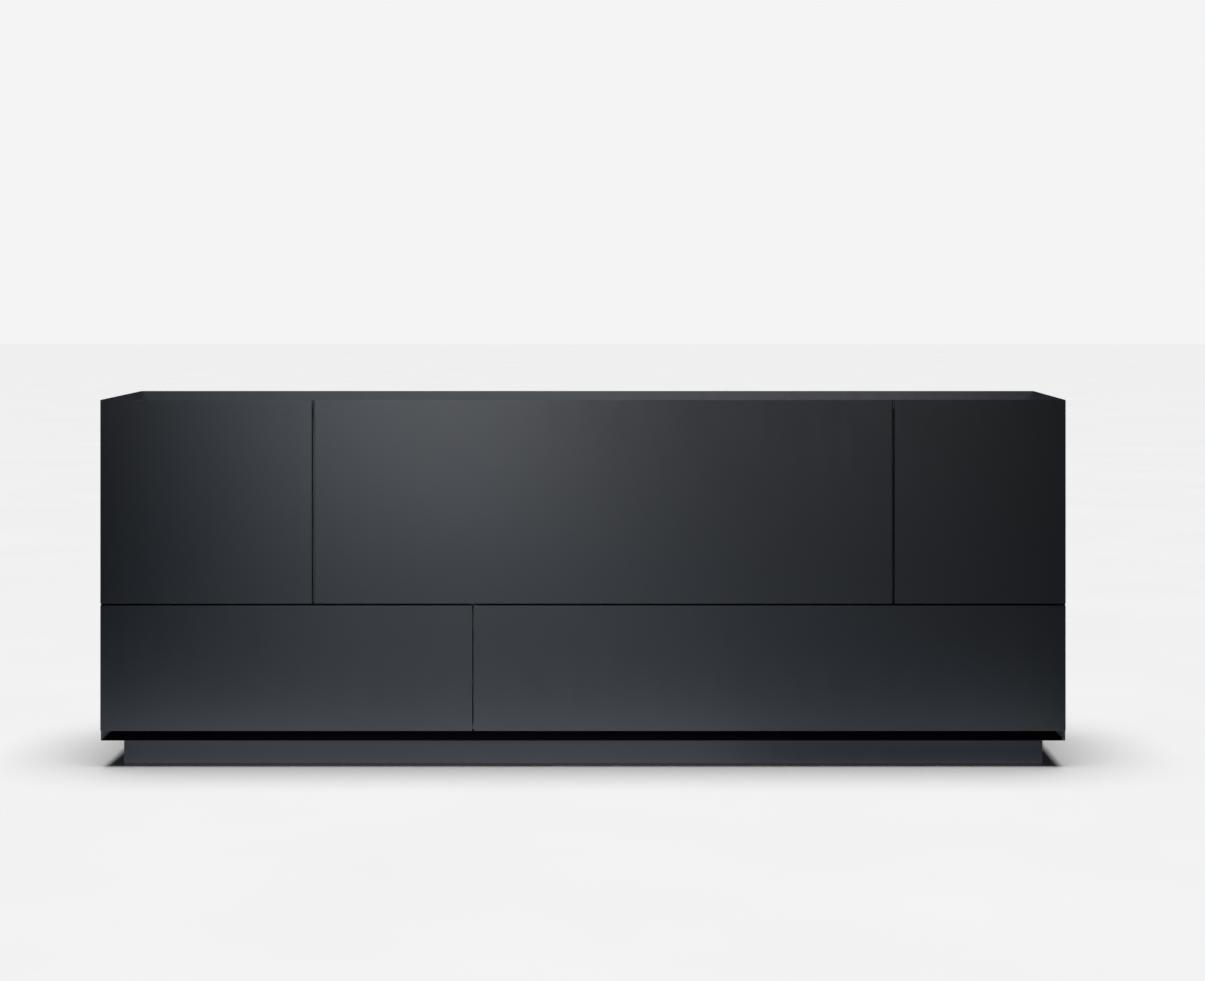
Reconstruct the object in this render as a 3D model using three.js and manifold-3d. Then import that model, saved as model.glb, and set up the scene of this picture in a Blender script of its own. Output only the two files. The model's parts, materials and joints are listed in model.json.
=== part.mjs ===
// Handleless lacquered sideboard: a mitred carcass on a recessed plinth, with a door at
// each end, a wide drop-down flap between them and two drawers below.
// Millimetres, +Z up. The front faces -Y, +X is to the right as seen from the front, and
// the origin is the centre of the footprint, on the floor.
import * as THREE from 'three';
import { mergeVertices } from 'three/addons/utils/BufferGeometryUtils.js';
import Module from 'manifold-3d';

const wasm = await Module();
wasm.setup();

// ---------------------------------------------------------------- driving sizes

// Whole piece
const overallWidth = 2100;
const overallDepth = 480;
const overallHeight = 800;

// Boards
const board = 22; // carcass boards and fronts
const backBoard = 8;
const shelfBoard = 19;
const plinthBoard = 18;
const drawerBoard = 14; // drawer sides and back
const drawerBaseBoard = 8;

// Fronts
const leftDoorWidth = 460;
const rightDoorWidth = 372;
const leftDrawerWidth = 809;
const drawerFrontHeight = 273;
const reveal = 4; // gap between neighbouring fronts
const mitreReveal = 2; // gap of a mitred corner, along Y
const land = 1.5; // flat left at the tip of a bevelled edge
const flapChamfer = 2; // on the flap's two upright front edges
const drawerChamfer = 1.5; // on the drawers' top front edge
const frontStandoff = 4; // between the fronts and the carcass behind them

// Plinth, finger groove and sunken top
const plinthHeight = 58;
const plinthFrontSetback = 30;
const plinthSideSetback = 46;
const plinthRearSetback = 40;
const grooveHeight = 22; // finger groove under the drawer fronts
const trayDepth = 22; // how far the top lies below its rim

// Inside
const backRecess = 4; // back panel behind the rear edge
const shelfSetback = 24;
const drawerRearClearance = 22;
const drawerHeadroom = 66; // above the drawer sides
const drawerFloorClearance = 24; // below the drawer sides
const drawerBaseRaise = 8; // drawer base above the bottom of the sides
const drawerBackDrop = 14; // drawer back below the top of the sides

// Telescopic runners
const runnerSpace = 13; // each side of a drawer
const runnerMember = 3.6; // thickness of each of the three members
const runnerHeights = [46, 38, 30]; // cabinet, middle and drawer member
const runnerShortfall = 18; // runner shorter than the drawer box
const runnerRaise = 44; // runner centre above the bottom of the drawer sides

// Concealed hinges, measured from their pivot line at the outer edge of the front
const cupRadius = 17.5;
const cupDepth = 12;
const cupWall = 1.6;
const cupInset = 47; // cup centre from the edge of the front
const flangeWidth = 24;
const flangeHeight = 62;
const flangeThickness = 1.8;
const doorHingeMargin = 80; // hinge centre from the end of a door
const flapHingeMargin = 190; // hinge centre from the end of the flap
const armPlate = { thickness: 3, from: 24, length: 54, height: 48 };
const armBody = { thickness: 11, height: 16 };
const armNose = { reach: 15, depth: 8, height: 13 };

// Flap stays: parallelogram levers beside the partitions
const stayPivotBack = 52; // fixed pivot behind the front face
const stayPivotHeight = 104; // fixed pivot above the flap's hinge line
const stayHeadroom = 62; // above the lever when the flap is shut
const stayBracketPivot = 15; // bracket pivot behind the flap
const stayBar = 4; // thickness of lever and link
const stayHalfWidth = 7;
const stayPinRadius = 4;
const housingThickness = 7;
const housingHalf = { depth: 17, height: 30 };
const bracketPlate = { thickness: 2.5, width: 22, halfHeight: 22 };

// Clearances
const seatGap = 0.3; // between pieces that rest on each other
const pinClearance = 0.5;
const layerGap = 1; // between bars that move past each other

// ---------------------------------------------------------------- derived places

const diagonalGap = seatGap * Math.SQRT2;
const bevelLeg = board - land;
const halfWidth = overallWidth / 2;
const innerHalf = halfWidth - board;

const frontFace = -overallDepth / 2;
const frontBack = frontFace + board;
const carcassFront = frontBack + frontStandoff;
const sideFront = frontFace + 2 * land + mitreReveal;
const rear = overallDepth / 2;
const railFront = rear - board;
const backRear = rear - backRecess;
const backFront = backRear - backBoard;

const carcassBottom = plinthHeight;
const floorTop = carcassBottom + board;
const drawerFrontBottom = carcassBottom + grooveHeight;
const drawerFrontTop = drawerFrontBottom + drawerFrontHeight;
const flapBottom = drawerFrontTop + reveal;
const deckTop = flapBottom + board; // level with the inside of the open flap
const topUpper = overallHeight - trayDepth;
const topUnder = topUpper - board;

const flapLeft = -halfWidth + leftDoorWidth + reveal;
const flapRight = halfWidth - rightDoorWidth - reveal;
const rightDrawerLeft = -halfWidth + leftDrawerWidth + reveal;
const leftPartitionX = flapLeft - reveal / 2;
const rightPartitionX = flapRight + reveal / 2;
const drawerPartitionX = rightDrawerLeft - reveal / 2;

// ---------------------------------------------------------------- materials

const finish = (color, roughness, metalness) =>
  new THREE.MeshStandardMaterial({ color, roughness, metalness });
const lacquer = finish(0x474d54, 0.42, 0);
const blackLacquer = finish(0x0b0c0e, 0.6, 0);
const melamine = finish(0x5b5e62, 0.7, 0);
const drawerLining = finish(0x77797b, 0.65, 0);
const steel = finish(0xa9acae, 0.35, 0.9);

// ---------------------------------------------------------------- shape helpers

const group = new THREE.Group();

function add(name, geometry, material) {
  const mesh = new THREE.Mesh(geometry, material.clone());
  mesh.name = name;
  group.add(mesh);
}

// A box between two values on each axis.
function block([x0, x1], [y0, y1], [z0, z1]) {
  const geometry = new THREE.BoxGeometry(x1 - x0, y1 - y0, z1 - z0);
  return geometry.translate((x0 + x1) / 2, (y0 + y1) / 2, (z0 + z1) / 2);
}

// Turns from an outline drawn in X and Y to one in (Y, Z) swept along X, or in (X, Z)
// swept along Y. The second sweeps towards -Y.
const X = new THREE.Vector3(1, 0, 0);
const Y = new THREE.Vector3(0, 1, 0);
const Z = new THREE.Vector3(0, 0, 1);
const sweepTurn = {
  x: new THREE.Matrix4().makeBasis(Y, Z, X),
  y: new THREE.Matrix4().makeBasis(X, Z, Y.clone().negate()),
  z: new THREE.Matrix4(),
};

function sweep(shape, axis, [from, to]) {
  const geometry = new THREE.ExtrudeGeometry(shape, {
    depth: to - from,
    bevelEnabled: false,
    curveSegments: 10,
  });
  geometry.translate(0, 0, axis === 'y' ? -to : from);
  return geometry.applyMatrix4(sweepTurn[axis]);
}

function prism(outline, axis, span) {
  return sweep(new THREE.Shape(outline.map(([a, b]) => new THREE.Vector2(a, b))), axis, span);
}

function toSolid(geometry) {
  const bare = geometry.clone();
  bare.deleteAttribute('normal');
  bare.deleteAttribute('uv');
  const merged = mergeVertices(bare, 1e-4);
  return new wasm.Manifold(new wasm.Mesh({
    numProp: 3,
    vertProperties: new Float32Array(merged.attributes.position.array),
    triVerts: new Uint32Array(merged.index.array),
  }));
}

function toGeometry(solid) {
  const mesh = solid.getMesh();
  const geometry = new THREE.BufferGeometry();
  geometry.setAttribute('position', new THREE.BufferAttribute(mesh.vertProperties, 3));
  geometry.setIndex(new THREE.BufferAttribute(mesh.triVerts, 1));
  geometry.computeVertexNormals();
  return geometry;
}

function cut(geometry, tools) {
  const left = tools.reduce((solid, tool) => solid.subtract(toSolid(tool)), toSolid(geometry));
  return toGeometry(left);
}

function join(first, ...others) {
  return toGeometry(others.reduce((solid, other) => solid.add(toSolid(other)), toSolid(first)));
}

// A 45 degree wedge along an edge. The corner is where the edge's two faces meet, and
// inward gives the two signs that point from it into the board.
function bevel(axis, [a, b], [inA, inB], leg, [from, to]) {
  const over = 1; // the wedge runs past the board on every side
  const outline = [
    [a - inA * over, b - inB * over],
    [a + inA * (leg + over), b - inB * over],
    [a - inA * over, b + inB * (leg + over)],
  ];
  return prism(outline, axis, [from - over, to + over]);
}

// ---------------------------------------------------------------- carcass

// A side runs to the outer edges and is bevelled inside at its front, top and bottom.
function sidePanel(sign) {
  const inner = sign * innerHalf;
  const outer = sign * halfWidth;
  const spanY = [sideFront, rear];
  const spanZ = [carcassBottom, overallHeight];
  const body = block([Math.min(inner, outer), Math.max(inner, outer)], spanY, spanZ);
  return cut(body, [
    bevel('z', [inner, sideFront], [sign, 1], bevelLeg, spanZ),
    bevel('y', [inner, overallHeight], [sign, -1], bevelLeg, spanY),
    bevel('y', [inner, carcassBottom], [sign, 1], bevelLeg, spanY),
  ]);
}
add('side_panel_left', sidePanel(-1), lacquer);
add('side_panel_right', sidePanel(1), lacquer);

// The outline in (X, Z) of a board whose ends are mitred to both sides. Its wide edge is
// at edgeZ, and grows is +1 where the board lies above that edge and -1 where it lies below.
function mitredOutline(edgeZ, farZ, grows) {
  const wide = halfWidth - land - diagonalGap;
  const narrow = innerHalf - seatGap;
  const shoulderZ = edgeZ + grows * (wide - narrow);
  return [
    [-wide, edgeZ], [wide, edgeZ], [narrow, shoulderZ],
    [narrow, farZ], [-narrow, farZ], [-narrow, shoulderZ],
  ];
}

// The bottom's front edge is bevelled above, which opens the finger groove.
const bottomOutline = mitredOutline(carcassBottom, floorTop, 1);
const bottomSpan = [sideFront, backFront - seatGap];
const bottomBevel = bevel('x', [sideFront, floorTop], [1, -1], bevelLeg, [-halfWidth, halfWidth]);
add('bottom_panel', cut(prism(bottomOutline, 'y', bottomSpan), [bottomBevel]), blackLacquer);

const railOutline = mitredOutline(overallHeight, topUnder, -1);
const railBevel = bevel('x', [railFront, overallHeight], [1, -1], bevelLeg, [-halfWidth, halfWidth]);
add('rear_rim_rail', cut(prism(railOutline, 'y', [railFront, rear]), [railBevel]), lacquer);

const innerX = [-innerHalf + seatGap, innerHalf - seatGap];
const carcassY = [carcassFront, backFront - seatGap];
add('top_panel', block(innerX, [carcassFront, railFront - seatGap], [topUnder, topUpper]), lacquer);
add('deck_panel', block(innerX, carcassY, [flapBottom, deckTop]), melamine);
add('back_panel', block(innerX, [backFront, backRear], [floorTop, topUnder - seatGap]), melamine);

function partition(name, centreX, from, to) {
  const x = [centreX - board / 2, centreX + board / 2];
  add(name, block(x, carcassY, [from + seatGap, to - seatGap]), melamine);
}
partition('partition_left', leftPartitionX, deckTop, topUnder);
partition('partition_right', rightPartitionX, deckTop, topUnder);
partition('drawer_partition', drawerPartitionX, floorTop, flapBottom);

const shelfX = [-innerHalf + seatGap, leftPartitionX - board / 2 - seatGap];
const shelfMiddle = (deckTop + topUnder) / 2;
const shelfZ = [shelfMiddle - shelfBoard / 2, shelfMiddle + shelfBoard / 2];
add('shelf', block(shelfX, [carcassFront + shelfSetback, backFront - seatGap], shelfZ), melamine);

// ---------------------------------------------------------------- plinth

const plinthHalf = halfWidth - plinthSideSetback;
const plinthFront = frontFace + plinthFrontSetback;
const plinthRear = rear - plinthRearSetback;
const plinthZ = [0, plinthHeight - seatGap];
const plinthX = [-plinthHalf, plinthHalf];
const plinthSideY = [plinthFront + plinthBoard + seatGap, plinthRear - plinthBoard - seatGap];
add('plinth_front', block(plinthX, [plinthFront, plinthFront + plinthBoard], plinthZ), lacquer);
add('plinth_rear', block(plinthX, [plinthRear - plinthBoard, plinthRear], plinthZ), lacquer);
add('plinth_left', block([-plinthHalf, plinthBoard - plinthHalf], plinthSideY, plinthZ), lacquer);
add('plinth_right', block([plinthHalf - plinthBoard, plinthHalf], plinthSideY, plinthZ), lacquer);

// ---------------------------------------------------------------- concealed hinges

// A hinge is drawn with its pivot line as the local Z axis, the front lying along local X
// from it and local Y pointing into the carcass. The arm stands on a face one board away.
const cupCylinder = (radius, from, to) =>
  new THREE.CylinderGeometry(radius, radius, to - from, 32).translate(cupInset, (from + to) / 2, 0);

function cupBore() {
  return cupCylinder(cupRadius + seatGap, board - cupDepth - seatGap, board + 1);
}

function hingeCup() {
  const seat = board + seatGap;
  const half = flangeWidth / 2;
  const flangeX = [cupInset - half, cupInset + half];
  const flange = block(flangeX, [seat, seat + flangeThickness], [-flangeHeight / 2, flangeHeight / 2]);
  const cup = join(flange, cupCylinder(cupRadius, board - cupDepth, seat + flangeThickness / 2));
  const hollow = cupCylinder(cupRadius * 0.6, board - cupDepth + cupWall, seat + flangeThickness + 1);
  return cut(cup, [hollow]);
}

function hingeArm() {
  const seat = board + seatGap;
  const front = board + frontStandoff + layerGap;
  const plateFrom = front + armPlate.from;
  const plateTo = plateFrom + armPlate.length;
  const bodyTop = seat + armPlate.thickness + armBody.thickness;
  const mid = (size) => [-size / 2, size / 2];
  return join(
    block([seat, seat + armPlate.thickness], [plateFrom, plateTo], mid(armPlate.height)),
    block([seat + armPlate.thickness / 2, bodyTop], [front, plateTo], mid(armBody.height)),
    block([bodyTop - 1, bodyTop + armNose.reach], [front, front + armNose.depth], mid(armNose.height)),
  );
}

// Places a hinge at each position and returns the bores that its cups need. The along
// vector points from the pivot line over the front, and place(n) gives a point on the line.
function hinges(prefix, along, positions, place) {
  return positions.map(([label, distance]) => {
    const turn = new THREE.Matrix4().makeBasis(along, Y, along.clone().cross(Y));
    turn.setPosition(place(distance));
    add(`${prefix}_hinge_cup_${label}`, hingeCup().applyMatrix4(turn), steel);
    add(`${prefix}_hinge_arm_${label}`, hingeArm().applyMatrix4(turn), steel);
    return cupBore().applyMatrix4(turn);
  });
}

// ---------------------------------------------------------------- doors and flap

const upperZ = [flapBottom, overallHeight];
const frontY = [frontFace, frontBack];
const doorHingePlaces = [
  ['lower', flapBottom + doorHingeMargin],
  ['upper', topUnder - doorHingeMargin],
];

// The outer end of a front is mitred to the side, and its top edge is bevelled behind.
const endMitre = (sign, spanZ) => bevel('z', [sign * halfWidth, frontBack], [-sign, -1], bevelLeg, spanZ);
const gripBevel = (edgeZ, inZ, spanX) => bevel('x', [frontBack, edgeZ], [-1, inZ], bevelLeg, spanX);

function door(name, sign, width) {
  const outer = sign * halfWidth;
  const spanX = sign < 0 ? [outer, outer + width] : [outer - width, outer];
  const along = new THREE.Vector3(-sign, 0, 0);
  const line = (z) => new THREE.Vector3(outer, frontFace, z);
  const bores = hinges(name, along, doorHingePlaces, line);
  const bevels = [endMitre(sign, upperZ), gripBevel(overallHeight, -1, spanX)];
  add(name, cut(block(spanX, frontY, upperZ), [...bevels, ...bores]), lacquer);
}
door('left_door', -1, leftDoorWidth);
door('right_door', 1, rightDoorWidth);

const flapX = [flapLeft, flapRight];
const flapHingePlaces = [['left', flapLeft + flapHingeMargin], ['right', flapRight - flapHingeMargin]];
const flapBores = hinges('flap', Z, flapHingePlaces, (x) => new THREE.Vector3(x, frontFace, flapBottom));
add('flap', cut(block(flapX, frontY, upperZ), [
  gripBevel(overallHeight, -1, flapX),
  bevel('z', [flapLeft, frontFace], [1, 1], flapChamfer, upperZ),
  bevel('z', [flapRight, frontFace], [-1, 1], flapChamfer, upperZ),
  ...flapBores,
]), lacquer);

// ---------------------------------------------------------------- flap stays

// Pivots in (Y, Z). The lever stays parallel to the line from the flap's hinge line to the
// bracket pivot, and the link stays parallel to the line from the hinge line to the fixed
// pivot, so both turn in a constant ratio to the flap.
const hingeLine = new THREE.Vector2(frontFace, flapBottom);
const fixedArm = new THREE.Vector2(stayPivotBack, stayPivotHeight);
const leverRise = topUnder - flapBottom - stayPivotHeight - stayHeadroom;
const flapArm = new THREE.Vector2(board + stayBracketPivot, leverRise);
const fixedPivot = hingeLine.clone().add(fixedArm);
const bracketPivot = hingeLine.clone().add(flapArm);
const elbowPivot = fixedPivot.clone().add(flapArm);

// A flat bar with round ends between two pivots, with a hole at each listed pivot.
function bar(from, to, holes, spanX) {
  const along = to.clone().sub(from);
  const quarter = Math.PI / 2;
  const shape = new THREE.Shape();
  shape.absarc(to.x, to.y, stayHalfWidth, along.angle() - quarter, along.angle() + quarter, false);
  shape.absarc(from.x, from.y, stayHalfWidth, along.angle() + quarter, along.angle() + 3 * quarter, false);
  for (const hole of holes) {
    const edge = new THREE.Path();
    edge.absarc(hole.x, hole.y, stayPinRadius + pinClearance, 0, 2 * Math.PI, true);
    shape.holes.push(edge);
  }
  return sweep(shape, 'x', spanX);
}

function pin(centre, [x0, x1]) {
  const geometry = new THREE.CylinderGeometry(stayPinRadius, stayPinRadius, x1 - x0, 20);
  return geometry.rotateZ(Math.PI / 2).translate((x0 + x1) / 2, centre.x, centre.y);
}

function flapStay(name, wallX, into) {
  const layer = (from, to) => (into > 0 ? [wallX + from, wallX + to] : [wallX - to, wallX - from]);
  const leverFrom = housingThickness + layerGap;
  const leverTo = leverFrom + stayBar;
  const linkFrom = leverTo + layerGap;
  const linkTo = linkFrom + stayBar;
  const around = (value, half) => [value - half, value + half];

  const housing = block(layer(seatGap, housingThickness),
    around(fixedPivot.x, housingHalf.depth), around(fixedPivot.y, housingHalf.height));
  add(`${name}_housing`, join(housing, pin(fixedPivot, layer(housingThickness - 1, leverTo))), steel);

  const lever = bar(fixedPivot, elbowPivot, [fixedPivot], layer(leverFrom, leverTo));
  add(`${name}_lever`, join(lever, pin(elbowPivot, layer(leverTo - 1, linkTo))), steel);

  add(`${name}_link`, bar(elbowPivot, bracketPivot, [elbowPivot, bracketPivot],
    layer(linkFrom, linkTo)), steel);

  const plateFront = frontBack + seatGap;
  const plateX = layer(leverFrom - bracketPlate.width / 2, leverFrom + bracketPlate.width / 2);
  add(`${name}_bracket`, join(
    block(plateX, [plateFront, plateFront + bracketPlate.thickness],
      around(bracketPivot.y, bracketPlate.halfHeight)),
    block(layer(leverFrom, leverTo), [plateFront + 1, bracketPivot.x + stayHalfWidth],
      around(bracketPivot.y, stayHalfWidth)),
    pin(bracketPivot, layer(leverTo - 1, linkTo)),
  ), steel);
}
flapStay('stay_left', leftPartitionX + board / 2, 1);
flapStay('stay_right', rightPartitionX - board / 2, -1);

// ---------------------------------------------------------------- drawers

const boxBottom = floorTop + drawerFloorClearance;
const boxTop = flapBottom - drawerHeadroom;
const boxY = [frontBack + seatGap, backFront - drawerRearClearance];
const runnerPlay = (runnerSpace - 3 * runnerMember) / 4;
const runnerY = [boxY[0], boxY[1] - runnerShortfall];
const runnerZ = boxBottom + runnerRaise;
const drawerZ = [drawerFrontBottom, drawerFrontTop];

// The three members of a runner, from the carcass wall towards the drawer side.
function runner(name, wallX, into) {
  ['cabinet', 'middle', 'drawer'].forEach((member, index) => {
    const near = runnerPlay + index * (runnerMember + runnerPlay);
    const x = [wallX + into * near, wallX + into * (near + runnerMember)].sort((a, b) => a - b);
    const half = runnerHeights[index] / 2;
    const fromY = member === 'drawer' ? runnerY[0] : carcassFront;
    add(`${name}_${member}`, block(x, [fromY, runnerY[1]], [runnerZ - half, runnerZ + half]), steel);
  });
}

function drawer(name, sign, [frontLeft, frontRight], [bayLeft, bayRight]) {
  const spanX = [frontLeft, frontRight];
  add(`${name}_front`, cut(block(spanX, frontY, drawerZ), [
    endMitre(sign, drawerZ),
    gripBevel(drawerFrontBottom, 1, spanX),
    bevel('x', [frontFace, drawerFrontTop], [1, -1], drawerChamfer, spanX),
  ]), lacquer);

  const left = bayLeft + runnerSpace;
  const right = bayRight - runnerSpace;
  const insideX = [left + drawerBoard + seatGap, right - drawerBoard - seatGap];
  const baseZ = [boxBottom + drawerBaseRaise, boxBottom + drawerBaseRaise + drawerBaseBoard];
  const backZ = [baseZ[1] + seatGap, boxTop - drawerBackDrop];
  add(`${name}_side_left`, block([left, left + drawerBoard], boxY, [boxBottom, boxTop]), drawerLining);
  add(`${name}_side_right`, block([right - drawerBoard, right], boxY, [boxBottom, boxTop]), drawerLining);
  add(`${name}_back`, block(insideX, [boxY[1] - drawerBoard, boxY[1]], backZ), drawerLining);
  add(`${name}_base`, block(insideX, boxY, baseZ), drawerLining);

  runner(`${name}_runner_left`, bayLeft, 1);
  runner(`${name}_runner_right`, bayRight, -1);
}
drawer('left_drawer', -1, [-halfWidth, -halfWidth + leftDrawerWidth],
  [-innerHalf, drawerPartitionX - board / 2]);
drawer('right_drawer', 1, [rightDrawerLeft, halfWidth],
  [drawerPartitionX + board / 2, innerHalf]);

export default group;
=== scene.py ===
import json
import math

import bmesh
import bpy
from mathutils import Matrix, Vector

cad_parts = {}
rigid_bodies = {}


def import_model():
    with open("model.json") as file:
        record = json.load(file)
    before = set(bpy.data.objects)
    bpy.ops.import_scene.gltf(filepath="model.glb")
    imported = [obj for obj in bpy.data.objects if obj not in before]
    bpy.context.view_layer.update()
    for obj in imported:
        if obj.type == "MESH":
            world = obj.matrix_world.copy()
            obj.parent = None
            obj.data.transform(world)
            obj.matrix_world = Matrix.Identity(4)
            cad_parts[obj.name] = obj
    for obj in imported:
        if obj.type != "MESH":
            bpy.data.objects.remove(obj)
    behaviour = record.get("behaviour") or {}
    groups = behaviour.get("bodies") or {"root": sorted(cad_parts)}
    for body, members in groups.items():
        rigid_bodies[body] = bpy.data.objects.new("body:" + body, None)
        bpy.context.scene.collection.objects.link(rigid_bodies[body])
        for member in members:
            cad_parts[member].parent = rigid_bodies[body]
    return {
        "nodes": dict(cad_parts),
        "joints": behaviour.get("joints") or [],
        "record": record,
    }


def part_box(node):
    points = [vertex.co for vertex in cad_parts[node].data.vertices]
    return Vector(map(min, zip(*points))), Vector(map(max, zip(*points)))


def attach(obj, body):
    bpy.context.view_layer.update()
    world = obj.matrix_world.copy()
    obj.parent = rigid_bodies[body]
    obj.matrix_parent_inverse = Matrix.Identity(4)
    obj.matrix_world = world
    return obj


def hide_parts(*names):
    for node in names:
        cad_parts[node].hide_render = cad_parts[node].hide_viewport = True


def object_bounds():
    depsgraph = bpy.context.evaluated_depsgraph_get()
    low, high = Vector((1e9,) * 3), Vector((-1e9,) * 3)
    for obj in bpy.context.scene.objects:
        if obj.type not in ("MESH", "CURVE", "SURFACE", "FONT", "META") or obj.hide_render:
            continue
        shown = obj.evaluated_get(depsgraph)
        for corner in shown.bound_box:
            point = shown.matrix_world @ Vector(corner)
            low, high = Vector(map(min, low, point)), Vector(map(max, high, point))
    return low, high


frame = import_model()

CAD_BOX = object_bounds()
NODES = frame["nodes"]
RECORD = frame["record"]
JOINTS = {joint["name"]: joint for joint in frame["joints"]}
BODY_OF = {
    node: body
    for body, members in RECORD["behaviour"]["bodies"].items()
    for node in members
}
MM = 0.001
X, Y, Z = Vector((1, 0, 0)), Vector((0, 1, 0)), Vector((0, 0, 1))

# ------------------------------------------------------------------ material nodes

FACE_EDGE = "edge"  # the face layer that is 1 on rounded edges

# Texture scales, in features per metre.
DRIFT_SCALE = 3.1  # slow change of tone over a whole board
MOTTLE_SCALE = 210.0
WIPE_SCALE = 34.0  # wiping marks, drawn out upright
PEEL_SCALE = 620.0  # orange peel of sprayed lacquer
DUST_SCALE = 2600.0
PEARL_SCALE = 900.0  # pressed pearl of melamine
CLOUD_SCALE = 12.0
SLUB_SCALE = 70.0
GRAIN_SCALE = 900.0  # drawn grain of steel
BLOOM_SCALE = 55.0
MOULD_SCALE = 1800.0
STAIN_SCALE = 90.0
THREAD_PITCH = 1.6 * MM  # of the linen weave

# Relief heights.
PEEL_HEIGHT = 0.06 * MM
DUST_HEIGHT = 0.02 * MM
PEARL_HEIGHT = 0.12 * MM
WEAVE_HEIGHT = 0.08 * MM
GRAIN_HEIGHT = 0.02 * MM
MOULD_HEIGHT = 0.05 * MM
PLASTER_HEIGHT = 0.2 * MM


def new_material(name):
    material = bpy.data.materials.new(name)
    material.use_nodes = True
    return material, material.node_tree, material.node_tree.nodes["Principled BSDF"]


def put(tree, kind, settings=None, inputs=None):
    """Adds a node, sets its properties, and fills or links its inputs by name or number."""
    made = tree.nodes.new(kind)
    for key, value in (settings or {}).items():
        setattr(made, key, value)
    for key, value in (inputs or {}).items():
        if isinstance(value, bpy.types.NodeSocket):
            tree.links.new(value, made.inputs[key])
        else:
            made.inputs[key].default_value = value
    return made


def place_in_metres(tree, stretch=(1, 1, 1)):
    """The point on the piece, in metres along the frame's axes, times stretch."""
    coordinates = put(tree, "ShaderNodeTexCoord").outputs["Object"]
    if stretch == (1, 1, 1):
        return coordinates
    scaled = put(tree, "ShaderNodeMapping", inputs={"Vector": coordinates, "Scale": stretch})
    return scaled.outputs["Vector"]


def noise(tree, place, scale, detail=2.0, roughness=0.5):
    inputs = {"Vector": place, "Scale": scale, "Detail": detail, "Roughness": roughness}
    return put(tree, "ShaderNodeTexNoise", inputs=inputs).outputs["Fac"]


def ramp(tree, value, low, high, to_low=0.0, to_high=1.0):
    """Maps low..high to to_low..to_high, held at both ends."""
    inputs = {"Value": value, 1: low, 2: high, 3: to_low, 4: to_high}
    return put(tree, "ShaderNodeMapRange", inputs=inputs).outputs["Result"]


def calc(tree, operation, first, second):
    settings = {"operation": operation}
    return put(tree, "ShaderNodeMath", settings, {0: first, 1: second}).outputs["Value"]


def blend_colour(tree, factor, first, second):
    settings = {"data_type": "RGBA"}
    inputs = {"Factor": factor, 6: first, 7: second}
    return put(tree, "ShaderNodeMix", settings, inputs).outputs[2]


def bump(tree, height, distance, strength=1.0, under=None):
    inputs = {"Height": height, "Distance": distance, "Strength": strength}
    if under is not None:
        inputs["Normal"] = under
    return put(tree, "ShaderNodeBump", inputs=inputs).outputs["Normal"]


def edge_share(tree):
    """1 on the rounded edges of a piece and 0 on its faces."""
    return put(tree, "ShaderNodeAttribute", {"attribute_name": FACE_EDGE}).outputs["Fac"]


def shade(colour, factor):
    return tuple(min(1.0, part * factor) for part in colour[:3]) + (1.0,)


def lacquer(name, colour, roughness, peel=1.0, specular=0.5):
    """Sprayed satin lacquer: orange peel, drifting gloss, faint wiping marks, rubbed edges."""
    material, tree, surface = new_material(name)
    place = place_in_metres(tree)
    drift = noise(tree, place, DRIFT_SCALE, 3.0)
    mottle = noise(tree, place, MOTTLE_SCALE, 3.0, 0.6)
    upright = place_in_metres(tree, (1.0, 1.0, 0.25))
    wipes = noise(tree, upright, WIPE_SCALE, 4.0, 0.62)
    drifting = ramp(tree, drift, 0.3, 0.7)
    tone = blend_colour(tree, drifting, shade(colour, 0.95), shade(colour, 1.05))
    speckled = ramp(tree, mottle, 0.35, 0.75, 0.0, 0.12)
    tone = blend_colour(tree, speckled, tone, shade(colour, 1.25))
    rubbed = calc(tree, "MULTIPLY", edge_share(tree), ramp(tree, mottle, 0.4, 0.7, 0.15, 0.55))
    tone = blend_colour(tree, rubbed, tone, shade(colour, 1.9))
    gloss = calc(tree, "ADD", ramp(tree, wipes, 0.35, 0.75, -0.025, 0.04), roughness)
    gloss = calc(tree, "ADD", gloss, ramp(tree, mottle, 0.3, 0.7, -0.015, 0.015))
    peel_height = noise(tree, place, PEEL_SCALE, 2.0, 0.4)
    dust_height = noise(tree, place, DUST_SCALE, 1.0)
    relief = bump(tree, peel_height, PEEL_HEIGHT * peel, 0.55)
    relief = bump(tree, dust_height, DUST_HEIGHT * peel, 0.35, relief)
    tree.links.new(tone, surface.inputs["Base Color"])
    tree.links.new(gloss, surface.inputs["Roughness"])
    tree.links.new(relief, surface.inputs["Normal"])
    surface.inputs["Specular IOR Level"].default_value = specular
    return material


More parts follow.
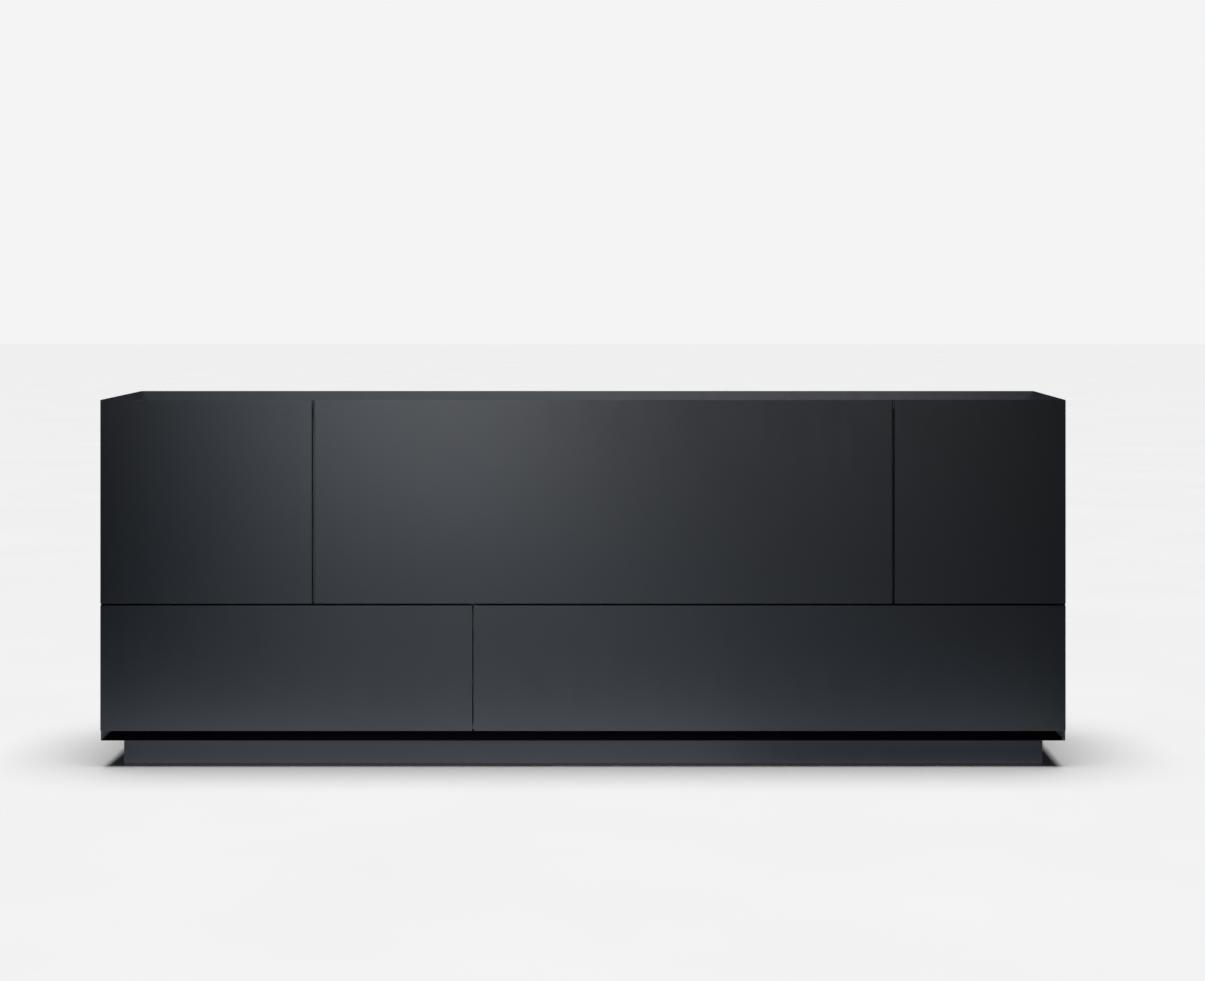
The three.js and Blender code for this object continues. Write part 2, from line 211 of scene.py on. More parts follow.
def melamine(name, colour, roughness, pore=1.0, along=(1, 1, 1)):
    """Melamine-faced board with a pressed pearl texture."""
    material, tree, surface = new_material(name)
    place = place_in_metres(tree, along)
    pearl = noise(tree, place, PEARL_SCALE, 3.0, 0.65)
    cloud = noise(tree, place, CLOUD_SCALE, 3.0)
    clouded = ramp(tree, cloud, 0.3, 0.7)
    tone = blend_colour(tree, clouded, shade(colour, 0.94), shade(colour, 1.06))
    tone = blend_colour(tree, ramp(tree, pearl, 0.45, 0.75, 0.0, 0.3), tone, shade(colour, 1.3))
    rubbed = calc(tree, "MULTIPLY", edge_share(tree), 0.3)
    tone = blend_colour(tree, rubbed, tone, shade(colour, 1.6))
    tree.links.new(tone, surface.inputs["Base Color"])
    gloss = ramp(tree, pearl, 0.3, 0.7, roughness - 0.06, roughness + 0.06)
    tree.links.new(gloss, surface.inputs["Roughness"])
    tree.links.new(bump(tree, pearl, PEARL_HEIGHT * pore, 0.6), surface.inputs["Normal"])
    return material


def linen_foil(name, colour):
    """Foil pressed with a linen weave."""
    material, tree, surface = new_material(name)
    place = place_in_metres(tree)
    split = put(tree, "ShaderNodeSeparateXYZ", inputs={"Vector": place})
    rough_thread = noise(tree, place, 160.0, 2.0)
    threads = []
    for axis in ("X", "Y", "Z"):
        phase = calc(tree, "MULTIPLY", split.outputs[axis], 2 * math.pi / THREAD_PITCH)
        phase = calc(tree, "ADD", phase, calc(tree, "MULTIPLY", rough_thread, 5.0))
        threads.append(put(tree, "ShaderNodeMath", {"operation": "SINE"}, {0: phase}).outputs[0])
    weave = calc(tree, "MAXIMUM", calc(tree, "MAXIMUM", threads[0], threads[1]), threads[2])
    slubs = noise(tree, place_in_metres(tree, (6.0, 1.0, 1.0)), SLUB_SCALE, 3.0)
    woven = ramp(tree, weave, -0.2, 1.0)
    tone = blend_colour(tree, woven, shade(colour, 0.86), shade(colour, 1.08))
    slubbed = ramp(tree, slubs, 0.5, 0.8, 0.0, 0.25)
    tone = blend_colour(tree, slubbed, tone, shade(colour, 1.3))
    tree.links.new(tone, surface.inputs["Base Color"])
    tree.links.new(ramp(tree, slubs, 0.3, 0.7, 0.52, 0.64), surface.inputs["Roughness"])
    tree.links.new(bump(tree, weave, WEAVE_HEIGHT, 0.6), surface.inputs["Normal"])
    return material


def plated_steel(name, colour, roughness, along):
    """Zinc-plated steel with a fine drawn grain along one axis."""
    material, tree, surface = new_material(name)
    grain = noise(tree, place_in_metres(tree, along), GRAIN_SCALE, 3.0, 0.7)
    bloom = noise(tree, place_in_metres(tree), BLOOM_SCALE, 3.0)
    drawn = ramp(tree, grain, 0.3, 0.7)
    tone = blend_colour(tree, drawn, shade(colour, 0.82), shade(colour, 1.08))
    bloomed = ramp(tree, bloom, 0.45, 0.8, 0.0, 0.35)
    tone = blend_colour(tree, bloomed, tone, shade(colour, 0.72))
    tree.links.new(tone, surface.inputs["Base Color"])
    surface.inputs["Metallic"].default_value = 1.0
    gloss = calc(tree, "ADD", ramp(tree, grain, 0.3, 0.7, -0.05, 0.06), roughness)
    tree.links.new(gloss, surface.inputs["Roughness"])
    tree.links.new(bump(tree, grain, GRAIN_HEIGHT, 0.5), surface.inputs["Normal"])
    return material


def soft_plastic(name, colour, roughness):
    """Moulded plastic or rubber with a fine matt grain."""
    material, tree, surface = new_material(name)
    place = place_in_metres(tree)
    grain = noise(tree, place, MOULD_SCALE, 3.0, 0.6)
    cloud = noise(tree, place, STAIN_SCALE, 2.0)
    clouded = ramp(tree, cloud, 0.3, 0.7)
    tone = blend_colour(tree, clouded, shade(colour, 0.85), shade(colour, 1.2))
    tree.links.new(tone, surface.inputs["Base Color"])
    gloss = ramp(tree, grain, 0.3, 0.7, roughness - 0.08, roughness + 0.08)
    tree.links.new(gloss, surface.inputs["Roughness"])
    tree.links.new(bump(tree, grain, MOULD_HEIGHT, 0.6), surface.inputs["Normal"])
    return material


def plaster_floor(name, colour):
    """Pale matt plaster with faint clouds."""
    material, tree, surface = new_material(name)
    place = place_in_metres(tree)
    cloud = noise(tree, place, 1.7, 4.0)
    grain = noise(tree, place, 260.0, 3.0)
    clouded = ramp(tree, cloud, 0.3, 0.7)
    tone = blend_colour(tree, clouded, shade(colour, 0.985), shade(colour, 1.01))
    tree.links.new(tone, surface.inputs["Base Color"])
    surface.inputs["Roughness"].default_value = 0.85
    tree.links.new(bump(tree, grain, PLASTER_HEIGHT, 0.15), surface.inputs["Normal"])
    return material


ANTHRACITE = (0.0322, 0.040, 0.0527)
GROOVE_SHADE_BLACK = (0.0018, 0.0018, 0.0021)
SHADOW_GREY = (0.006, 0.0066, 0.0078)
GRAPHITE_GREY = (0.085, 0.089, 0.096)
BAND_GREY = (0.070, 0.074, 0.080)
LINEN_GREY = (0.165, 0.170, 0.176)
ZINC = (0.58, 0.60, 0.62)
RECESS_SHADE_BLACK = (0.01, 0.01, 0.011)
BUFFER_GREY = (0.16, 0.165, 0.17)
RUBBER_AND_SHADE_BLACK = (0.012, 0.012, 0.013)
DRAWN_OUT = 0.06  # scale of the steel's grain along its length

LACQUER = lacquer("anthracite_lacquer", ANTHRACITE, 0.44)
# Painted shade: the bottom board is near-black, so that the grip groove under the drawers looks
# like deep shadow.
GROOVE_PAINTED_SHADE = lacquer("groove_painted_shade_lacquer", GROOVE_SHADE_BLACK, 0.75, peel=0.6, specular=0.08)
# Painted shade: near-black lacquer on the fronts' upright ends, so that the gaps between the
# fronts look shaded.
GAP_PAINTED_SHADE = lacquer("front_end_painted_shade", SHADOW_GREY, 0.6, specular=0.15)
GRAPHITE = melamine("graphite_melamine", GRAPHITE_GREY, 0.55)
EDGE_BAND = melamine("graphite_edge_band", BAND_GREY, 0.42, pore=0.5, along=(3.0, 1.0, 1.0))
LINING = linen_foil("linen_foil", LINEN_GREY)
STEEL_Y = plated_steel("zinc_steel_along_y", ZINC, 0.33, (1.0, DRAWN_OUT, 1.0))
STEEL_Z = plated_steel("zinc_steel_along_z", ZINC, 0.33, (1.0, 1.0, DRAWN_OUT))
# Painted shade: near-black floor of the screws' cross recess, where the zinc would only lie in
# shade.
RECESS_PAINTED_SHADE = soft_plastic("painted_shade_recess", RECESS_SHADE_BLACK, 0.7)
BUFFER = soft_plastic("grey_buffer", BUFFER_GREY, 0.5)
# Partly painted shade: the black rubber strip under the plinth also stands in for the contact
# shadow at its foot.
RUBBER_AND_SHADE = soft_plastic("black_rubber_and_shade", RUBBER_AND_SHADE_BLACK, 0.72)

# ------------------------------------------------------------------ mesh tools

SHARP = math.radians(25)  # edges that turn more than this are rounded
FLAT = math.radians(0.5)  # faces that turn less than this are one face
WELD = 0.002 * MM  # corners closer than this are one corner
FULL_FACE = 0.99  # least part of a normal along an axis, on a face that looks along it


def round_edges(work, radius, segments=3):
    """Rounds the sharp edges and marks the new faces in the edge layer."""
    layers = work.faces.layers.float
    layer = layers.get(FACE_EDGE) or layers.new(FACE_EDGE)
    sharp = [edge for edge in work.edges if edge.calc_face_angle(0.0) > SHARP]
    made = bmesh.ops.bevel(
        work, geom=sharp, offset=radius, segments=segments, profile=0.5,
        affect="EDGES", clamp_overlap=True,
    )
    for face in made["faces"]:
        face[layer] = 1.0


def weigh_normals(mesh):
    """Vertex normals that lean to the larger faces, so that flat faces stay flat."""
    sums = [Vector() for _ in mesh.vertices]
    for face in mesh.polygons:
        for index in face.vertices:
            sums[index] += face.normal * face.area
    mesh.shade_smooth()
    mesh.normals_split_custom_set_from_vertices([total.normalized() for total in sums])


def piece(name, work, materials, body, replaced=()):
    """Turns a bmesh into a finished piece that rides on a body."""
    bmesh.ops.recalc_face_normals(work, faces=work.faces)
    mesh = bpy.data.meshes.new(name)
    work.to_mesh(mesh)
    work.free()
    for material in materials:
        mesh.materials.append(material)
    weigh_normals(mesh)
    made = bpy.data.objects.new(name, mesh)
    bpy.context.scene.collection.objects.link(made)
    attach(made, body)
    if replaced:
        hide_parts(*replaced)


def cad_copy(node):
    """The CAD node's shape as a bmesh, with flat faces in one piece."""
    work = bmesh.new()
    work.from_mesh(NODES[node].data)
    bmesh.ops.remove_doubles(work, verts=work.verts, dist=WELD)
    bmesh.ops.dissolve_limit(work, angle_limit=FLAT, verts=work.verts, edges=work.edges)
    return work


def prism(outline, axis, low, high):
    """A closed body: an outline swept along axis from low to high.
    Outline points are in the other two axes, in the order X, Y, Z."""
    work = bmesh.new()
    others = [index for index in range(3) if index != axis]

    def point(pair, height):
        place = [0.0, 0.0, 0.0]
        place[others[0]], place[others[1]] = pair
        place[axis] = height
        return work.verts.new(place)

    bottom = [point(pair, low) for pair in outline]
    top = [point(pair, high) for pair in outline]
    for at in range(len(outline)):
        after = (at + 1) % len(outline)
        work.faces.new((bottom[at], bottom[after], top[after], top[at]))
    rims = [edge for edge in work.edges if edge.is_boundary]
    middle = (low + high) / 2
    for is_top in (False, True):
        rim = [e for e in rims if all((v.co[axis] > middle) == is_top for v in e.verts)]
        bmesh.ops.triangle_fill(work, use_beauty=True, edges=rim)
    bmesh.ops.dissolve_limit(work, angle_limit=0.005, verts=work.verts, edges=work.edges)
    return work


def circle(radius, count):
    turns = [2 * math.pi * at / count for at in range(count)]
    return [(radius * math.cos(turn), radius * math.sin(turn)) for turn in turns]


def lathe(profile, count=28):
    """A body turned about Z from (radius, height) pairs that start and end on the axis."""
    work = bmesh.new()
    rings = []
    for radius, height in profile:
        if radius == 0:
            rings.append([work.verts.new((0, 0, height))] * count)
        else:
            points = circle(radius, count)
            rings.append([work.verts.new((x, y, height)) for x, y in points])
    for lower, upper in zip(rings, rings[1:]):
        for at in range(count):
            after = (at + 1) % count
            corners = dict.fromkeys((lower[at], lower[after], upper[after], upper[at]))
            work.faces.new(tuple(corners))
    return work


def facing(direction, at):
    """The matrix that turns local Z to direction and moves the origin to at."""
    turn = Z.rotation_difference(Vector(direction)).to_matrix().to_4x4()
    return Matrix.Translation(at) @ turn


# ------------------------------------------------------------------ small fittings

# Radii of screw heads.
SMALL_HEAD = 3.2 * MM
MIDDLE_HEAD = 3.4 * MM
ADJUSTER_HEAD = 4.2 * MM

# Turned profiles, as shares of the radius and the height, from the seat up.
PAN_HEAD = ((0.92, 0.0), (1.0, 0.18), (1.0, 0.55), (0.9, 0.84), (0.72, 1.0))
RIVET = (
    (0, 0), (0.94, 0), (1, 0.2), (0.96, 0.5), (0.8, 0.82), (0.5, 1.0), (0.22, 0.94), (0, 0.88),
)
DOT = ((0, 0), (0.95, 0), (1, 0.15), (0.97, 0.5), (0.82, 0.8), (0.55, 0.96), (0, 1.0))


def screw(name, at, direction, body, radius=3.8 * MM, height=1.3 * MM):
    """A pan-head screw with a cross recess. at is where its head rests."""
    arm = 0.56 * radius
    slit = 0.15 * radius
    depth = 0.6 * height
    cross = [
        (arm, slit), (slit, slit), (slit, arm), (-slit, arm), (-slit, slit), (-arm, slit),
        (-arm, -slit), (-slit, -slit), (-slit, -arm), (slit, -arm), (slit, -slit), (arm, -slit),
    ]
    work = bmesh.new()
    rings = []
    for share, level in PAN_HEAD:
        points = circle(share * radius, 24)
        rings.append([work.verts.new((x, y, level * height)) for x, y in points])
    rings.append([work.verts.new((x, y, height)) for x, y in cross])
    narrow = 0.8  # of the recess, at its floor
    sunk = [work.verts.new((narrow * x, narrow * y, height - depth)) for x, y in cross]
    for lower, upper in [*zip(rings[:-2], rings[1:-1]), (rings[-1], sunk)]:
        for corner in range(len(lower)):
            after = (corner + 1) % len(lower)
            work.faces.new((lower[corner], lower[after], upper[after], upper[corner]))
    work.faces.new(rings[0])
    # The recess floor takes the painted shade.
    floor = work.faces.new(sunk)
    floor.material_index = 1
    top = [e for e in work.edges if e.is_boundary]
    bmesh.ops.triangle_fill(work, use_beauty=True, edges=top)
    work.transform(facing(direction, at))
    piece(name, work, [STEEL_Z, RECESS_PAINTED_SHADE], body)


def rivet_head(name, at, direction, body, radius, height):
    """A domed pin head with a slightly dished middle."""
    work = lathe([(share * radius, level * height) for share, level in RIVET])
    work.transform(facing(direction, at))
    piece(name, work, [STEEL_Z], body)


def buffer(name, at, body):
    """A soft dot on the back of a front, where it closes against the carcass."""
    radius = 4.5 * MM
    height = 3.2 * MM
    work = lathe([(share * radius, level * height) for share, level in DOT])
    work.transform(facing(Y, at))
    piece(name, work, [BUFFER], body)


# ------------------------------------------------------------------ boards

# Radii of eased edges.
LACQUER_EDGE = 0.5 * MM
BOARD_EDGE = 0.5 * MM
THIN_BOARD_EDGE = 0.4 * MM
DRAWER_EDGE = 1.6 * MM
STRIP_EDGE = 0.3 * MM


def board(node, material, radius, band=None):
    """A board in the CAD node's shape with eased edges. Faces towards the front are banded."""
    work = cad_copy(node)
    if band:
        for face in work.faces:
            face.material_index = int(face.normal.y < -FULL_FACE)
    round_edges(work, radius)
    materials = [material, band] if band else [material]
    piece(node + "_board", work, materials, BODY_OF[node], [node])


def front_board(node):
    """A front in lacquer. Its upright ends carry painted shade, so that the gaps read as shadow
    lines.
    """
    work = cad_copy(node)
    # The upright ends take the painted shade.
    for face in work.faces:
        face.material_index = int(abs(face.normal.x) > FULL_FACE)
    round_edges(work, LACQUER_EDGE)
    piece(node + "_board", work, [LACQUER, GAP_PAINTED_SHADE], BODY_OF[node], [node])


for name in ("side_panel_left", "side_panel_right", "rear_rim_rail", "top_panel"):
    board(name, LACQUER, LACQUER_EDGE)
for name in ("left_door", "right_door", "flap", "left_drawer_front", "right_drawer_front"):
    front_board(name)
# The bottom board carries the groove's painted shade.
board("bottom_panel", GROOVE_PAINTED_SHADE, LACQUER_EDGE)
for name in ("deck_panel", "partition_left", "partition_right", "drawer_partition", "shelf"):
    board(name, GRAPHITE, BOARD_EDGE, EDGE_BAND)
board("back_panel", GRAPHITE, THIN_BOARD_EDGE)
for side in ("left", "right"):
    for part in ("side_left", "side_right", "back", "base"):
        edge = THIN_BOARD_EDGE if part == "base" else DRAWER_EDGE
        board(f"{side}_drawer_{part}", LINING, edge)

# The strip's height follows the dark line at the plinth's foot, which is partly contact shadow.
STRIP_HEIGHT = 5 * MM
STRIP_INSET = 1.5 * MM


def upright_block(low, high, bottom, top):
    """A block over the footprint from low to high, between two heights."""
    outline = [(low.x, low.y), (high.x, low.y), (high.x, high.y), (low.x, high.y)]
    return prism(outline, 2, bottom, top)


def plinth_board(node):
    """A plinth board that stands on a thin black sealing strip. The strip is partly a real seal
    and partly painted shade for the contact shadow at the plinth's foot.
    """
    low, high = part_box(node)
    strip_top = low.z + STRIP_HEIGHT
    rail = upright_block(low, high, strip_top, high.z)
    round_edges(rail, LACQUER_EDGE)
    piece(node + "_board", rail, [LACQUER], "carcass", [node])
    inset = Vector((STRIP_INSET, STRIP_INSET, 0))
    strip = upright_block(low + inset, high - inset, low.z, strip_top)
    round_edges(strip, STRIP_EDGE, 2)
    piece(node + "_sealing_strip_and_shade", strip, [RUBBER_AND_SHADE], "carcass")


for part in ("front", "rear", "left", "right"):
    plinth_board(f"plinth_{part}")

# ------------------------------------------------------------------ runners

WEB = 1.1 * MM  # sheet thickness of a runner member
LIP = WEB * 1.1
CHANNEL_EDGE = 0.3 * MM
SCREW_PITCH = 128 * MM
FIRST_SCREW = 0.4  # of a pitch from the runner's front end


def channel(node, web_side):
    """A runner member as a folded channel along Y. web_side is -1, 0 or 1: where the web
    lies between the member's low and high X."""
    low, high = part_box(node)
    depth = high.x - low.x
    start = low.x + (depth - WEB) * (web_side + 1) / 2
    end = start + WEB
    bottom = low.z + LIP
    top = high.z - LIP
    if web_side == 0:
        outline = [
            (low.x, low.z), (high.x, low.z), (high.x, bottom), (end, bottom),
            (end, top), (high.x, top), (high.x, high.z), (low.x, high.z),
            (low.x, top), (start, top), (start, bottom), (low.x, bottom),
        ]
    else:
        near, far = (low.x, high.x) if web_side < 0 else (high.x, low.x)
        inner = end if web_side < 0 else start
        outline = [
            (near, low.z), (far, low.z), (far, bottom), (inner, bottom),
            (inner, top), (far, top), (far, high.z), (near, high.z),
        ]
    work = prism(outline, 1, low.y, high.y)
    round_edges(work, CHANNEL_EDGE, 2)
    piece(node + "_channel", work, [STEEL_Y], BODY_OF[node], [node])


def runner(prefix, wall_side):
    """wall_side is -1 where the carcass wall lies at the runner's low X, else 1."""
    channel(prefix + "_cabinet", wall_side)
    channel(prefix + "_middle", 0)
    channel(prefix + "_drawer", -wall_side)
    low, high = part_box(prefix + "_cabinet")
    rest_x = low.x + WEB if wall_side < 0 else high.x - WEB
    count = int((high.y - low.y) / SCREW_PITCH)
    for at in range(count):
        y = low.y + (at + FIRST_SCREW) * SCREW_PITCH
        place = Vector((rest_x, y, (low.z + high.z) / 2))
        screw(f"{prefix}_screw_{at}", place, -X * wall_side, "carcass", SMALL_HEAD, 0.9 * MM)


for side in ("left", "right"):
    runner(f"{side}_drawer_runner_left", -1)
    runner(f"{side}_drawer_runner_right", 1)

# ------------------------------------------------------------------ hinges

CARRIER = {"left_door": X, "right_door": -X, "flap": Z}  # from pivot line over the front
FRONT_BOARD = 22 * MM
SEAT = 0.3 * MM  # gap between pieces that rest on each other
PLATE = 3 * MM  # mounting plate of a hinge arm
ARM_RISE = 11 * MM  # of the arm over its plate
CUP_SCREW_REACH = 24 * MM  # from the cup's middle
ARM_SCREW_REACH = 16 * MM  # from the arm's middle
ARM_SCREW_BACK = 17 * MM  # from the arm's rear end
ADJUSTER_BACKS = (14 * MM, 40 * MM)
FITTING_EDGE = 0.45 * MM


def hinge(front, label):
    """Details the cup in a front and the arm on the carcass, and adds their screws."""
    along = CARRIER[front]
    across = along.cross(Y)
    motion = "_drop" if front == "flap" else "_swing"
    pivot = Vector(JOINTS[front + motion]["pos_m"])
    for kind in ("cup", "arm"):
        node = f"{front}_hinge_{kind}_{label}"
        work = cad_copy(node)
        round_edges(work, FITTING_EDGE, 2)
        piece(node + "_body", work, [STEEL_Z], BODY_OF[node], [node])
    low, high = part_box(f"{front}_hinge_cup_{label}")
    middle = (low + high) / 2
    for way in (-1, 1):
        at = middle + across * way * CUP_SCREW_REACH
        at.y = high.y
        screw(f"{front}_hinge_cup_{label}_screw_{way + 1}", at, Y, front, MIDDLE_HEAD, 1.0 * MM)
    low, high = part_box(f"{front}_hinge_arm_{label}")
    middle = (low + high) / 2
    seat = (pivot - middle).dot(along) + FRONT_BOARD + SEAT + PLATE
    for way in (-1, 1):
        at = middle + across * way * ARM_SCREW_REACH + along * seat
        at.y = high.y - ARM_SCREW_BACK
        screw(f"{front}_hinge_arm_{label}_screw_{way + 1}", at, along, "carcass")
    top = seat + ARM_RISE
    for index, back in enumerate(ADJUSTER_BACKS):
        at = middle + along * top
        at.y = high.y - back
        screw(f"{front}_hinge_arm_{label}_adjuster_{index}", at, along, "carcass", ADJUSTER_HEAD)


for front in ("left_door", "right_door"):
    for label in ("lower", "upper"):
        hinge(front, label)
for label in ("left", "right"):
    hinge("flap", label)

# ------------------------------------------------------------------ flap stays

STAY_EDGE = 0.4 * MM
HOUSING_PLATE = 7 * MM
HOUSING_SCREW_REACH = 21 * MM  # above and below the fixed pivot
BRACKET_SCREW_REACH = 15 * MM  # above and below the bracket's pivot
BRACKET_BASE = 2.5 * MM
RIVET_RADIUS = 6 * MM
RIVET_HEIGHT = 0.85 * MM


def flap_stay(side, into):
    """into is the way from the partition into the compartment."""
    for part in ("housing", "lever", "link", "bracket"):
        node = f"stay_{side}_{part}"
        work = cad_copy(node)
        round_edges(work, STAY_EDGE, 2)
        piece(node + "_body", work, [STEEL_Z], BODY_OF[node], [node])
    fixed = Vector(JOINTS[f"stay_{side}_lever_swing"]["pos_m"])
    elbow = Vector(JOINTS[f"stay_{side}_link_swing"]["pos_m"])
    hinge_line = Vector(JOINTS["flap_drop"]["pos_m"])
    bracket = hinge_line + elbow - fixed

    def outer(node):
        low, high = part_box(node)
        return high.x if into > 0 else low.x

    # Each rivet: name, centre, the piece that it sits on, how far it stands off, and its body.
    rivets = (
        ("fixed", fixed, f"stay_{side}_housing", 0.02 * MM, "carcass"),
        ("elbow", elbow, f"stay_{side}_link", 0.05 * MM, f"stay_{side}_lever"),
        ("bracket", bracket, f"stay_{side}_link", 0.05 * MM, "flap"),
    )
    for label, at, under, stand_off, body in rivets:
        place = Vector((outer(under) + into * stand_off, at.y, at.z))
        rivet_head(
            f"stay_{side}_{label}_rivet", place, X * into, body, RIVET_RADIUS, RIVET_HEIGHT
        )
    low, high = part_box(f"stay_{side}_housing")
    face = low.x + HOUSING_PLATE - SEAT if into > 0 else high.x - HOUSING_PLATE + SEAT
    for way in (-1, 1):
        place = Vector((face, fixed.y, fixed.z + way * HOUSING_SCREW_REACH))
        name = f"stay_{side}_housing_screw_{way + 1}"
        screw(name, place, X * into, "carcass", MIDDLE_HEAD, 1.0 * MM)
    low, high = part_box(f"stay_{side}_bracket")
    for way in (-1, 1):
        z = bracket.z + way * BRACKET_SCREW_REACH
        place = Vector(((low.x + high.x) / 2, low.y + BRACKET_BASE, z))
        screw(f"stay_{side}_bracket_screw_{way + 1}", place, Y, "flap", SMALL_HEAD, 0.9 * MM)


flap_stay("left", 1)
flap_stay("right", -1)

# ------------------------------------------------------------------ buffers and shelf pins

BUFFER_INSET = 9 * MM  # from a front's upright edge
BUFFER_DROP = 44 * MM  # from its upper or lower edge
PIN_INSET = 50 * MM  # from the shelf's front or rear edge
PIN_DROP = 2.8 * MM  # of the pin's axis below the shelf
PIN = ((0, 0), (2.4, 0), (2.5, 0.4), (2.5, 9), (2.0, 9.6), (0, 9.6))  # radius and length in mm


def buffers(node, corners):
    """Dots on the back of a front, at the named corners: pairs of -1 or 1 in X and Z."""
    low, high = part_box(node)
    middle = (low + high) / 2
    reach = (high - low) / 2
    for index, (x_way, z_way) in enumerate(corners):
        x = middle.x + x_way * (reach.x - BUFFER_INSET)
        z = middle.z + z_way * (reach.z - BUFFER_DROP)
        buffer(f"{node}_buffer_{index}", Vector((x, high.y, z)), BODY_OF[node])


buffers("left_door", ((1, 1), (1, -1)))
buffers("right_door", ((-1, 1), (-1, -1)))


def shelf_pins():
    """Four turned pins that stand out of the walls under the shelf."""
    low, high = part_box("shelf")
    middle = (low + high) / 2
    for x_way in (-1, 1):
        for y_way in (-1, 1):
            wall_x = low.x - SEAT if x_way < 0 else high.x + SEAT
            y = middle.y + y_way * ((high.y - low.y) / 2 - PIN_INSET)
            work = lathe([(radius * MM, length * MM) for radius, length in PIN], 20)
            work.transform(facing(X * -x_way, Vector((wall_x, y, low.z - PIN_DROP))))
            piece(f"shelf_pin_{x_way + 1}_{y_way + 1}", work, [STEEL_Z], "carcass")


shelf_pins()

# ------------------------------------------------------------------ stage, light and camera

FRONT_Y = CAD_BOX[0].y
FLOOR_TONE = 0.86
FLOOR_REACH = 40  # metres from the middle to an edge
FLOOR_SUN = 3.3  # W per square metre, straight down
PALE = FLOOR_TONE * FLOOR_SUN / math.pi  # what the lit floor looks like; the background matches it
AMBIENT = 0.018


def stage_floor():
    """A pale floor that neither lights nor darkens the object."""
    work = bmesh.new()
    bmesh.ops.create_grid(work, x_segments=8, y_segments=8, size=FLOOR_REACH)
    mesh = bpy.data.meshes.new("floor")
    work.to_mesh(mesh)
    work.free()
    mesh.materials.append(plaster_floor("pale_floor", (FLOOR_TONE, FLOOR_TONE, FLOOR_TONE)))
    floor = bpy.data.objects.new("floor", mesh)
    bpy.context.scene.collection.objects.link(floor)
    floor.visible_diffuse = False
    floor.visible_glossy = False
    floor.visible_shadow = False
    return floor


def linked_to(floor, state):
    """A light-linking collection that holds only the floor, as INCLUDE or EXCLUDE."""
    made = bpy.data.collections.new("floor_" + state.lower())
    made.objects.link(floor)
    made.collection_objects[0].light_linking.link_state = state
    return made


def linked_to_inside():
    """A light-linking collection of the boards and fittings that lie behind the fronts."""
    inside = (GRAPHITE, LINING, STEEL_Y, STEEL_Z, BUFFER)
    made = bpy.data.collections.new("inside")
    for item in bpy.context.scene.objects:
        if item.type == "MESH" and item.active_material in inside:
            made.objects.link(item)
    return made


def place_light(name, data, at, target, receivers):
    light = bpy.data.objects.new(name, data)
    light.location = at
    light.rotation_euler = (Vector(target) - Vector(at)).to_track_quat("-Z", "Y").to_euler()
    light.visible_camera = False
    light.light_linking.receiver_collection = receivers
    bpy.context.scene.collection.objects.link(light)


def area_light(name, at, target, size, power, receivers):
    data = bpy.data.lights.new(name, "AREA")
    data.shape = "RECTANGLE"
    data.size, data.size_y = size
    data.energy = power
    place_light(name, data, at, target, receivers)


def spot_light(name, at, target, cone, power, receivers, radius):
    data = bpy.data.lights.new(name, "SPOT")
    data.spot_size = math.radians(cone)
    data.spot_blend = 1.0
    data.shadow_soft_size = radius
    data.energy = power
    place_light(name, data, at, target, receivers)


def sun_light(name, direction, angle, power, receivers):
    data = bpy.data.lights.new(name, "SUN")
    data.angle = math.radians(angle)
    data.energy = power
    place_light(name, data, (0, 0, 0), direction, receivers)


def studio_world():
    world = bpy.data.worlds.new("studio")
    world.use_nodes = True
    tree = world.node_tree
    background = tree.nodes["Background"]
    background.inputs["Color"].default_value = (1, 1, 1, 1)
    seen = put(tree, "ShaderNodeLightPath").outputs["Is Camera Ray"]
    strength = ramp(tree, seen, 0.0, 1.0, AMBIENT, PALE)
    tree.links.new(strength, background.inputs["Strength"])
    bpy.context.scene.world = world


# Lights on the object, in metres, degrees and watts. Y counts from the front's plane.
# Spots on the front: name, place, target, cone, power, radius of the source.
SPOTS = (
    ("pool", (-0.51, -2.4, 1.6), (-0.51, 0, 1.05), 33, 92, 0.25),
    ("key", (-0.1, -2.6, 2.2), (-0.08, 0, 0.95), 50, 83, 0.35),
    ("low_fill", (-0.36, -2.4, 0.9), (-0.3, 0, 0.43), 36, 47, 0.35),
    ("right_fill", (0.6, -3.0, 1.0), (0.45, 0, 0.45), 60, 24, 0.35),
)
# The floor's glow, facing up: name, place, size, power.
GLOWS = (
    ("glow_drawers", (-0.1, -0.16, 0.03), (2.4, 0.2), 1.46),
    ("glow_left", (-0.35, -0.22, -0.04), (1.4, 0.35), 1.06),
    ("glow_plinth", (-0.15, -0.02, -0.06), (2.45, 0.06), 1.34),
)
INSIDE_POWER = 38
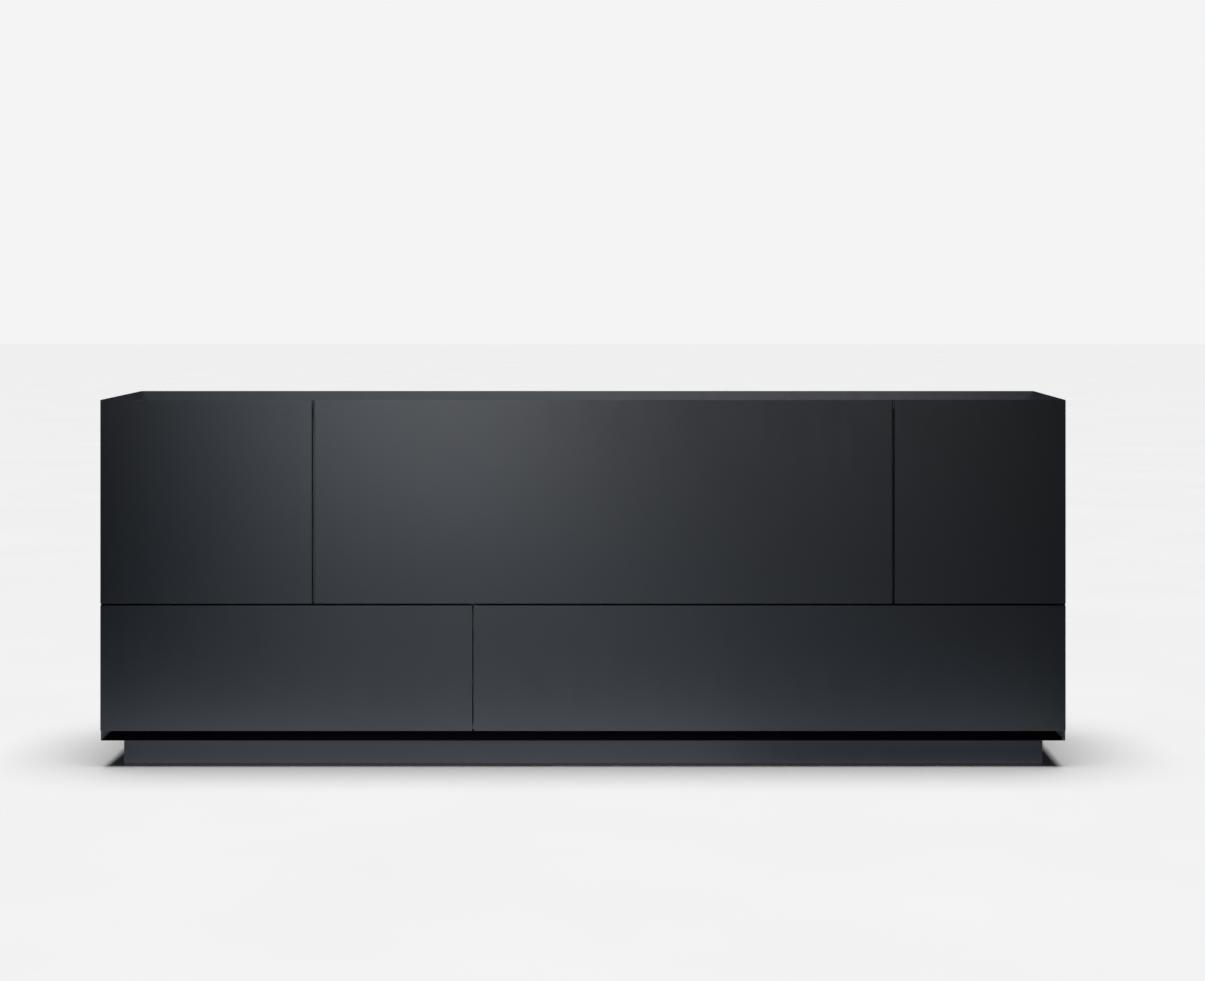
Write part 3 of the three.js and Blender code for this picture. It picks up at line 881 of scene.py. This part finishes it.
# Lights on the top, the sides and the back: name, place, target, size, power. Y as in the frame.
AROUND = (
    ("above", (0, 0.5, 3.0), (0, 0.1, 0.8), (2.4, 0.9), 20),
    ("from_left", (-3.4, 0.9, 0.4), (-1.05, 0.1, 0.4), (1.2, 0.7), 20),
    ("from_right", (3.4, 0.9, 0.4), (1.05, 0.1, 0.4), (1.2, 0.7), 15),
    ("behind", (0.6, 3.2, 0.4), (0, 0.24, 0.4), (2.6, 0.7), 30),
)


def from_front(place):
    """A point whose Y counts from the front's plane, as a point of the frame."""
    return Vector((place[0], FRONT_Y + place[1], place[2]))


def studio_lights(floor):
    """The pool of light on the left of the front, its spill, and the glow from the floor."""
    rest = linked_to(floor, "EXCLUDE")
    sun_light("floor_sun", -Z, 40, FLOOR_SUN, linked_to(floor, "INCLUDE"))
    for name, at, target, cone, power, radius in SPOTS:
        spot_light(name, from_front(at), from_front(target), cone, power, rest, radius)
    for name, place, size, power in GLOWS:
        at = from_front(place)
        area_light(name, at, at + Z, size, power, rest)
    inside = linked_to_inside()
    for name, way in (("inside_left", -1), ("inside_right", 1)):
        at = from_front((1.7 * way, -2.4, 1.9))
        target = from_front((0.2 * way, 0, 0.5))
        area_light(name, at, target, (0.5, 1.0), INSIDE_POWER, inside)
    for name, at, target, size, power in AROUND:
        area_light(name, at, target, size, power, rest)


CAMERA_X = 0.13
CAMERA_DISTANCE = 5.85  # from the front's plane
CAMERA_HEIGHT = 1.055
LENS = 80.35
SENSOR = 36
SHIFT_X = 0.0162  # for a camera on the middle line
SHIFT_Y = -0.1725


def camera():
    """Looks straight at the front. The shift takes back the camera's place beside the middle."""
    data = bpy.data.cameras.new("camera")
    data.sensor_width = SENSOR
    data.lens = LENS
    data.shift_x = SHIFT_X - CAMERA_X * data.lens / data.sensor_width / CAMERA_DISTANCE
    data.shift_y = SHIFT_Y
    made = bpy.data.objects.new("camera", data)
    made.location = (CAMERA_X, FRONT_Y - CAMERA_DISTANCE, CAMERA_HEIGHT)
    made.rotation_euler = (math.radians(90), 0, 0)
    bpy.context.scene.collection.objects.link(made)
    bpy.context.scene.camera = made


studio_world()
studio_lights(stage_floor())
camera()
bpy.context.scene.view_settings.view_transform = "Standard"
